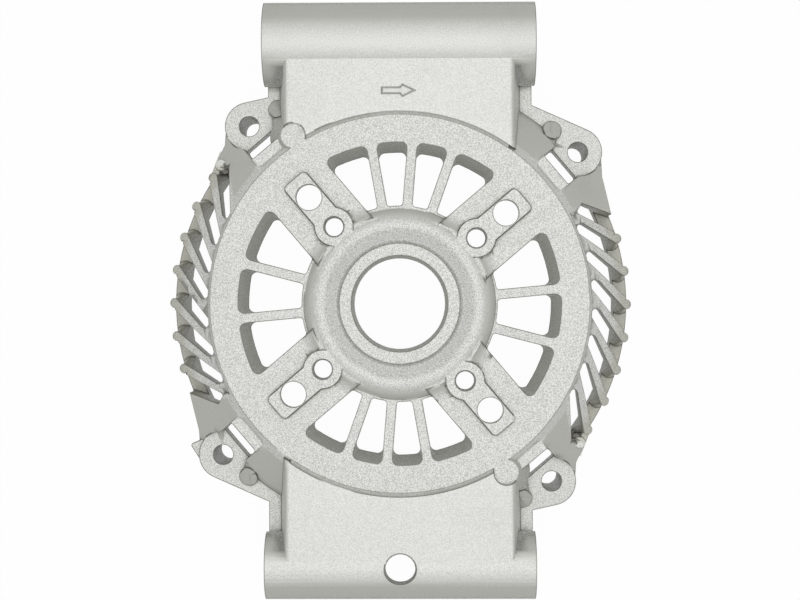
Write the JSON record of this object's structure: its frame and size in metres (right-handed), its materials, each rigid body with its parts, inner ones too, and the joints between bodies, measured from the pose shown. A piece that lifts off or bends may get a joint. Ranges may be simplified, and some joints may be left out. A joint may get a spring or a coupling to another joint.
{
  "type": "alternator drive end bracket",
  "caption": "Cast aluminium alternator drive end bracket: bearing hub on arms, air windows, louvred rear rim, bolt ears and two cross tubes for the pivot bolts.",
  "frame": {"origin": "on the bearing axis, on the shoulder that the bearing's outer ring is pushed against", "axes": "+Z along the bearing axis towards the pulley side; the cross tubes run along X; +Y towards the larger cross tube"},
  "size_m": [0.1516, 0.1938, 0.0434],
  "materials": {
    "cast_aluminium": "shot-blasted die casting, matt light grey"
  },
  "bodies": {
    "root": {"drive_end_bracket": "cast_aluminium"}
  },
  "joints": []
}
